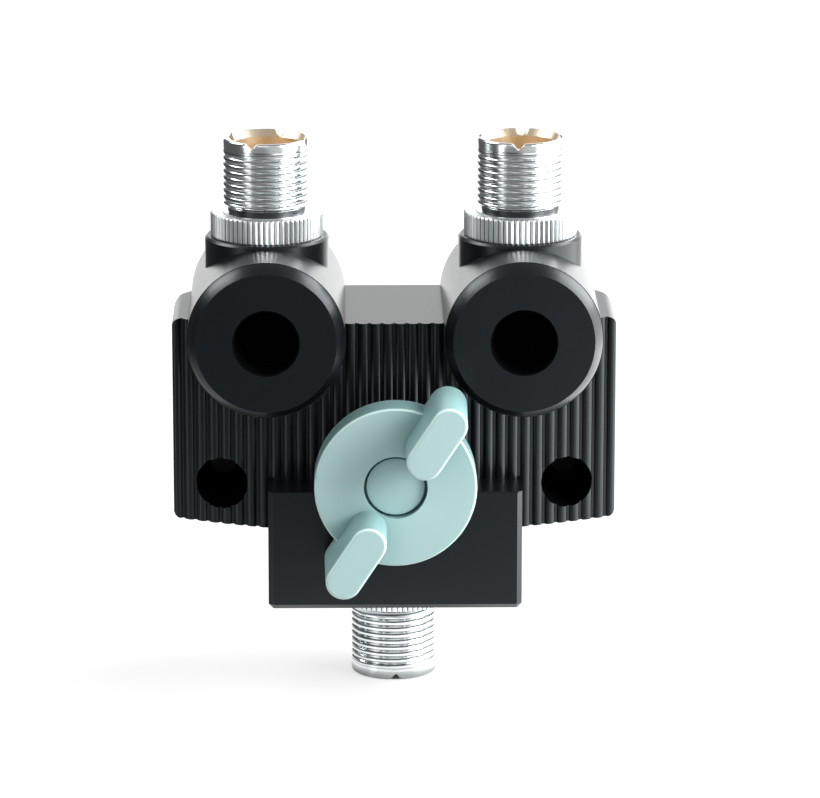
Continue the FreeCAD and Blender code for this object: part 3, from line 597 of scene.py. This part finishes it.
def collar_surface():
    """A ring turned about Z. Its teeth are a zigzag round the rim: the depth grows evenly from the tip to a
    sharp root, with the tip rounded off as sqrt(x^2 + r^2) - r. A cone at both ends cuts them off, so the
    smaller radius holds. The roots are coloured darker, as painted shade between the teeth.
    """
    per_tooth = 12
    count = TEETH * per_tooth
    angle = np.arange(count) / count * 2 * pi
    phase = np.arange(count) % per_tooth / per_tooth
    from_tip = 2 * np.minimum(phase, 1 - phase)
    drop = (np.hypot(from_tip, TIP_ROUND) - TIP_ROUND) / (np.hypot(1, TIP_ROUND) - TIP_ROUND)
    tooth = RING_R - TOOTH_DEPTH * drop
    levels = np.array(RING_ROWS)
    levels = np.concatenate([levels, RING_HEIGHT - levels[::-1]])
    from_end = np.minimum(levels, RING_HEIGHT - levels)
    cone = RING_R - np.clip(RING_CHAMFER - from_end, 0, 1)
    outer = np.minimum(tooth[None, :], cone[:, None])
    bore = np.full((2, count), ROOT_R + RING_BORE_GAP)
    radius = np.concatenate([bore[:1], outer, bore[1:], bore[:1]])
    level = np.concatenate([[0.0], levels, [RING_HEIGHT], [0.0]])[:, None] + angle * 0
    points = np.stack([radius * np.cos(angle), radius * np.sin(angle), level], -1)
    face_row = np.repeat(np.arange(len(radius) - 1), count)
    face_phase = np.tile(phase + 0.5 / per_tooth, len(radius) - 1)
    between_ends = (face_row > 1) & (face_row < len(radius) - 4)
    # Faces at the teeth's roots take the painted shade.
    root = (abs(face_phase - 0.5) < KNURL_SHADE_SHARE) & between_ends
    return points.reshape(-1, 3), quads(len(radius), count), np.where(root, 1, 0)


knurled = plated("knurled nickel", NICKEL, NICKEL_DULL, 0.38)
# Painted shade: the knurl's roots get a darker nickel.
knurl_shade = plated("painted shade in the knurl's roots", GROOVE_SHADE_DARK, KNURL_SHADE, 0.34)
for port in NOTCH_TURNS:
    points, faces, face_finish = collar_surface()
    collar = mesh_piece(port + "_collar", port_place(points, port), faces, [knurled, knurl_shade],
                        face_material=face_finish)
    soft_edges(collar, 40)
    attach(collar, "case")
    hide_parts(port + "_knurled_ring")

# ---------------------------------------------------------------------------------------------
# Beads and centre contacts. A moulded, cream-coloured plastic bead in each shell holds a slotted
# brass tube for the plug's pin; the tube is turned and slit, and its brass is left bare.

BEAD_CREAM = (0.60, 0.52, 0.36, 1.0)
BEAD_DARK = (0.48, 0.40, 0.27, 1.0)
BRASS = (0.72, 0.53, 0.24, 1.0)
BRASS_DULL = (0.52, 0.36, 0.15, 1.0)
SCATTER = 0.2
SCATTER_COLOURS = (1.0, 0.9, 0.8)
MOULD_CLOUD = 0.009
MOULD_GRAIN = 0.000004


def moulded(name, light, dark, roughness, reach=0.001, grain_size=0.0005, shine=0.4):
    """Moulded plastic: two close shades in slow clouds, light that sinks in, and a fine tool grain."""
    made, tree, shader = material(name, Specular_IOR_Level=shine, Subsurface_Weight=SCATTER,
                                  Subsurface_Scale=reach, Subsurface_Radius=SCATTER_COLOURS)
    grain = use_group(tree, GRAIN, Size=grain_size, Cloud_Size=MOULD_CLOUD)
    tree.links.new(blend(tree, grain["Cloud"], light, dark), shader.inputs["Base Color"])
    uneven_shine(tree, shader, grain["Grain"], roughness)
    bump(tree, shader, grain["Grain"], MOULD_GRAIN)
    return made, tree, shader


bead = moulded("cream bead plastic", BEAD_CREAM, BEAD_DARK, 0.38)[0]
brass = plated("turned brass", BRASS, BRASS_DULL, 0.26)
for port in NOTCH_TURNS:
    finish(port + "_insulator", bead)
    finish(port + "_centre_contact", brass)

# ---------------------------------------------------------------------------------------------
# Inside. Silvered brass strips on white posts run from each socket to the rotor; the rotor, its
# blade, the grounding plate and the detent turn on or round the spindle. Stamped, riveted, screwed.

SILVER = (0.84, 0.83, 0.79, 1.0)
SILVER_DULL = (0.66, 0.64, 0.58, 1.0)
POST_WHITE = (0.74, 0.74, 0.71, 1.0)
POST_SHADE = (0.64, 0.64, 0.60, 1.0)
STEEL = (0.52, 0.52, 0.53, 1.0)
STEEL_DULL = (0.36, 0.36, 0.37, 1.0)

silver = plated("silvered brass", SILVER, SILVER_DULL, 0.26)
steel = plated("ground steel", STEEL, STEEL_DULL, 0.30)
post = moulded("white post plastic", POST_WHITE, POST_SHADE, 0.42)[0]
for label in ("right_line", "left_line", "common_line", "grounding_plate", "rotor_blade"):
    finish(label, silver)
for label in ("line_standoffs", "rotor_insulator"):
    finish(label, post)
for label in ("spindle_bush", "blade_rivets"):
    finish(label, brass)
for label in ("line_screws", "stop_pin", "detent_spring", "detent_ball", "spindle", "thrust_washer",
              "detent_disc", "retaining_clip", "rotor_pin", "knob_screw"):
    finish(label, steel)

# ---------------------------------------------------------------------------------------------
# Knob and cap. Moulded in pale blue-green plastic that lets a little light in: a disc with two
# round-ended wings, pushed on the spindle's flat and held by a screw under the snap-in cap.

# The front colour is the lit face; the side colours are painted shade and the edge colour a painted
# highlight.
TEAL_FACE = (0.400, 0.565, 0.568, 1.0)
TEAL_SIDE_SHADE = (0.225, 0.385, 0.385, 1.0)
TEAL_EDGE_HIGHLIGHT = (0.66, 0.83, 0.77, 1.0)
TEAL_CLOUD = 0.93
CAP_FACE = (0.355, 0.505, 0.510, 1.0)
CAP_SIDE_SHADE = (0.250, 0.430, 0.430, 1.0)
EDGE_HIGHLIGHT_SHARE = 0.65
# Spans of how squarely the surface looks forward, from 0 on the sides to 1 on the front.
FACING_FRONT = (0.1, 0.95)
ROUNDING_RISE = (0.30, 0.58)
ROUNDING_FALL = (0.985, 0.86)
# Painted shade at the wings' feet: the reach of the occlusion test, and the openness over which the side
# colour gives way.
FOOT_REACH = 0.009
FOOT_SHADE = (0.35, 1.0)


def rounding_group():
    """Front is 1 where the surface looks forward; Rounding is 1 halfway round a front edge."""
    tree, _, put_out = shader_group("front and rounding", (), ("Front", "Rounding"))
    facing = node(tree, "ShaderNodeSeparateXYZ", Vector=node(tree, "ShaderNodeNewGeometry").outputs["Normal"])
    front = maths(tree, "MULTIPLY", facing.outputs["Y"], -1.0)
    halfway = maths(tree, "MULTIPLY", ease(tree, front, ROUNDING_RISE), ease(tree, front, ROUNDING_FALL))
    tree.links.new(ease(tree, front, FACING_FRONT), put_out.inputs["Front"])
    tree.links.new(halfway, put_out.inputs["Rounding"])
    return tree


ROUNDING = rounding_group()


def knob_plastic(name, face, side, highlight_colour):
    """The knob's plastic, with painted light: where its front faces look forward and lie open they take the
    lighter colour, as if lit. The sides and the places at the wings' feet take the darker colour, as painted
    shade, and a painted highlight runs round the rounded front edges.
    """
    deep = tuple(TEAL_CLOUD * c for c in face[:3]) + (1.0,)
    made, tree, shader = moulded(name, face, deep, 0.40, reach=0.0012, grain_size=0.0007, shine=0.45)
    form = use_group(tree, ROUNDING)
    cloudy = shader.inputs["Base Color"].links[0].from_socket
    open_sky = node(tree, "ShaderNodeAmbientOcclusion", {"samples": 8}, Distance=FOOT_REACH).outputs["AO"]
    # Painted light: the lit front colour where the surface looks forward and is open, painted shade on the
    # sides and at the wings' feet.
    lit_front = maths(tree, "MULTIPLY", form["Front"], ease(tree, open_sky, FOOT_SHADE))
    body = blend(tree, lit_front, side, cloudy)
    # Painted highlight along the rounded front edges.
    glow = maths(tree, "MULTIPLY", form["Rounding"], EDGE_HIGHLIGHT_SHARE)
    tree.links.new(blend(tree, glow, body, highlight_colour), shader.inputs["Base Color"])
    return made


finish("knob", knob_plastic("blue-green knob plastic", TEAL_FACE, TEAL_SIDE_SHADE, TEAL_EDGE_HIGHLIGHT))
finish("knob_cap", knob_plastic("blue-green cap plastic", CAP_FACE, CAP_SIDE_SHADE, TEAL_EDGE_HIGHLIGHT))

# ---------------------------------------------------------------------------------------------
# Floor, room and light. A pale floor in a studio room: bright walls behind and at the right, a dark
# left side with one lit strip, a dim front with a dark card on the floor, and four soft lamps.

# The room's walls: azimuth in degrees, 0 in front and + to the right, and how bright they are there.
WALLS = ((-180, 1.6), (-174, 1.8), (-166, 2.9), (-156, 0.12), (-62, 0.12), (-58, 2.8), (-47, 2.8),
         (-44, 0.34), (-4, 0.38), (4, 0.62), (44, 0.62), (50, 3.2), (62, 5.0), (118, 5.0), (128, 1.5),
         (150, 1.5), (162, 3.4), (174, 1.9), (180, 1.6))
WALL_TOP_LEVEL = 5.0
WALL_EDGE = (0.60, 0.76)
CEILING = 0.36

# The floor: spans of distance from its middle under the object, and the levels at their two ends.
FLOOR_Z = cad_low[2]
FLOOR_MIDDLE_Y = -0.02
FLOOR_HALF = 3.0
FLOOR_LINES = 13
FLOOR_GREY = (0.26, 0.26, 0.26, 1.0)
FLOOR_WHITE = (0.66, 1.0)
FLOOR_SPREAD = (0.35, 0.90)
# Painted shadow on the floor right under the lower socket's rim, and how dark it gets.
FOOT_SHADOW_SPAN = (0.0040, 0.0049)
FOOT_SHADOW_LEVEL = (0.03, 1.0)
# Painted shade round the socket's foot in what mirror-like bounces see.
FOOT_SHADOW_RING = (0.0075, 0.0145)
FOOT_SHADOW_RING_LEVEL = (0.15, 1.0)
UNDER_REACH = (0.05, 0.09)
UNDER_LEVEL = (1.0, 0.25)
NEAR_FLOOR = (0.08, 0.22)
NEAR_FROM_WALL = 0.20
PATCH_X = (0.03, 0.08)
PATCH_LEVEL = (0.0, 2.0)
PATCH_REACH = (0.32, 0.25)
CARD_Y = (-0.12, -0.19)
CARD_REACH = (0.385, 0.345)
CARD_X = (-0.05, 0.06)
CARD_DARK = (0.94, 0.60)


def room_group():
    """How bright the room is in a direction: its walls by azimuth, then the ceiling above them."""
    tree, put_in, put_out = shader_group("room", ("X", "Y", "Z"), ("Level",))
    way = put_in.outputs
    azimuth = maths(tree, "ARCTAN2", way["X"], maths(tree, "MULTIPLY", way["Y"], -1.0))
    place = maths(tree, "ADD", maths(tree, "DIVIDE", azimuth, 2 * pi), 0.5)
    ramp = node(tree, "ShaderNodeValToRGB", Fac=place)
    stops = ramp.color_ramp.elements
    for degrees, _ in WALLS[1:-1]:
        stops.new(degrees / 360.0 + 0.5)
    for stop, (_, level) in zip(stops, WALLS):
        stop.color = [level / WALL_TOP_LEVEL] * 3 + [1.0]
    wall = maths(tree, "MULTIPLY", ramp.outputs["Color"], WALL_TOP_LEVEL)
    level = node(tree, "ShaderNodeMix", _0=ease(tree, way["Z"], WALL_EDGE), _2=wall, _3=CEILING)
    tree.links.new(level.outputs[0], put_out.inputs["Level"])
    return tree


ROOM = room_group()


def floor_material():
    """Pale floor: a matt coat plus its own white, which mirror-like bounces see fade into the walls; painted
    shadow under and round the socket's foot.
    """
    made, tree, shader = material("pale floor")
    tree.nodes.remove(shader)
    path = node(tree, "ShaderNodeLightPath").outputs
    seen = maths(tree, "MAXIMUM", path["Is Camera Ray"], path["Is Glossy Ray"])
    seen = maths(tree, "MAXIMUM", seen, path["Is Transmission Ray"])
    place = node(tree, "ShaderNodeTexCoord").outputs["Object"]
    middle = (0.0, FLOOR_MIDDLE_Y, FLOOR_Z)
    offset = node(tree, "ShaderNodeVectorMath", {"operation": "SUBTRACT"}, _0=place, _1=middle).outputs[0]
    flat = node(tree, "ShaderNodeSeparateXYZ", Vector=offset).outputs
    away = node(tree, "ShaderNodeVectorMath", {"operation": "LENGTH"}, _0=offset).outputs["Value"]
    wall = use_group(tree, ROOM, X=flat["X"], Y=flat["Y"])["Level"]
    far = ease(tree, away, NEAR_FLOOR)
    on_card = maths(tree, "MULTIPLY", ease(tree, flat["Y"], CARD_Y), ease(tree, away, CARD_REACH))
    dark = maths(tree, "MULTIPLY", on_card, ease(tree, flat["X"], CARD_X, CARD_DARK))
    wall = maths(tree, "MULTIPLY", wall, maths(tree, "SUBTRACT", 1.0, dark))
    near = maths(tree, "MULTIPLY_ADD", wall, NEAR_FROM_WALL, ease(tree, away, UNDER_REACH, UNDER_LEVEL))
    # Painted shade round the socket's foot, seen only in reflections.
    near = maths(tree, "MULTIPLY", near, ease(tree, away, FOOT_SHADOW_RING, FOOT_SHADOW_RING_LEVEL))
    mirrored = node(tree, "ShaderNodeMix", _0=far, _2=near, _3=wall).outputs[0]
    mirrored = maths(tree, "MULTIPLY_ADD", ease(tree, flat["X"], PATCH_X, PATCH_LEVEL),
                     ease(tree, away, PATCH_REACH), mirrored)
    # The floor's own white, with a painted shadow right under the socket.
    white = maths(tree, "MULTIPLY", ease(tree, away, FLOOR_SPREAD, FLOOR_WHITE),
                  ease(tree, away, FOOT_SHADOW_SPAN, FOOT_SHADOW_LEVEL))
    level = node(tree, "ShaderNodeMix", _0=path["Is Camera Ray"], _2=mirrored, _3=white).outputs[0]
    glow = node(tree, "ShaderNodeEmission", Color=(1, 1, 1, 1), Strength=maths(tree, "MULTIPLY", level, seen))
    hidden = maths(tree, "MULTIPLY", far, path["Is Glossy Ray"])
    matt = node(tree, "ShaderNodeBsdfDiffuse", Color=blend(tree, hidden, FLOOR_GREY, (0, 0, 0, 1)))
    both = node(tree, "ShaderNodeAddShader", _0=glow.outputs[0], _1=matt.outputs[0])
    tree.links.new(both.outputs[0], tree.nodes["Material Output"].inputs["Surface"])
    return made


def floor_surface():
    """A flat square grid at the floor's height."""
    across = np.linspace(-FLOOR_HALF, FLOOR_HALF, FLOOR_LINES)
    x, y = np.meshgrid(across, across, indexing="ij")
    points = np.stack([x, y, x * 0 + FLOOR_Z], -1).reshape(-1, 3)
    return points, quads(FLOOR_LINES, FLOOR_LINES, wrap=False)[:, ::-1]


points, faces = floor_surface()
floor_mesh = bpy.data.meshes.new("floor")
floor_mesh.from_pydata(points.tolist(), [], faces.tolist())
floor_mesh.materials.append(floor_material())
floor = bpy.data.objects.new("floor", floor_mesh)
bpy.context.scene.collection.objects.link(floor)


def room_light():
    """White to the camera; everything else is lit by the room's walls and ceiling."""
    world = bpy.data.worlds.new("room")
    bpy.context.scene.world = world
    world.use_nodes = True
    tree = world.node_tree
    camera_ray = node(tree, "ShaderNodeLightPath").outputs["Is Camera Ray"]
    direction = node(tree, "ShaderNodeTexCoord").outputs["Generated"]
    way = node(tree, "ShaderNodeSeparateXYZ", Vector=direction).outputs
    level = use_group(tree, ROOM, X=way["X"], Y=way["Y"], Z=way["Z"])["Level"]
    background = tree.nodes["Background"]
    background.inputs["Color"].default_value = (1, 1, 1, 1)
    strength = node(tree, "ShaderNodeMix", _0=camera_ray, _2=level, _3=1.0).outputs[0]
    tree.links.new(strength, background.inputs["Strength"])


room_light()

LAMP_AIM = Vector((0.0, -0.02, 0.01))
LAMPS = (
    # name, azimuth, elevation, distance, width, height, brightness of its face
    ("key lamp", 58, 25, 0.75, 0.36, 0.40, 12.0),
    ("fill lamp", -14, 40, 0.85, 0.45, 0.35, 1.3),
    ("right side lamp", 113, 34, 0.80, 0.30, 0.58, 10.0),
    ("left side lamp", -112, 44, 0.80, 0.24, 0.38, 12.0),
)


def soft_lamp(name, azimuth, elevation, distance, width, height, radiance):
    """A rectangular soft lamp that faces the object; its power follows from how bright its face is."""
    data = bpy.data.lights.new(name, "AREA")
    data.shape = "RECTANGLE"
    data.size, data.size_y = width, height
    data.energy = radiance * pi * width * height
    lamp = bpy.data.objects.new(name, data)
    a, e = radians(azimuth), radians(elevation)
    way = Vector((sin(a) * cos(e), -cos(a) * cos(e), sin(e)))
    lamp.location = LAMP_AIM + way * distance
    lamp.rotation_mode = "QUATERNION"
    lamp.rotation_quaternion = (-way).to_track_quat("-Z", "Y")
    bpy.context.scene.collection.objects.link(lamp)


for lamp in LAMPS:
    soft_lamp(*lamp)

CAMERA_PLACE = (-0.01107, -0.90107, 0.23942)
CAMERA_YAW = radians(0.910)
CAMERA_PITCH = radians(-14.37)
CAMERA_ROLL = radians(-0.015)
SENSOR = 36.0
PICTURE_WIDTH = 820.0
FOCAL_PIXELS = 4937.3
CLIP = (0.05, 20.0)

view = bpy.data.cameras.new("camera")
view.sensor_width = SENSOR
view.lens = FOCAL_PIXELS / PICTURE_WIDTH * SENSOR
view.clip_start, view.clip_end = CLIP
camera = bpy.data.objects.new("camera", view)
camera.location = CAMERA_PLACE
camera.rotation_euler = (pi / 2 + CAMERA_PITCH, CAMERA_ROLL, -CAMERA_YAW)
bpy.context.scene.collection.objects.link(camera)
bpy.context.scene.camera = camera
bpy.context.scene.view_settings.view_transform = "Standard"
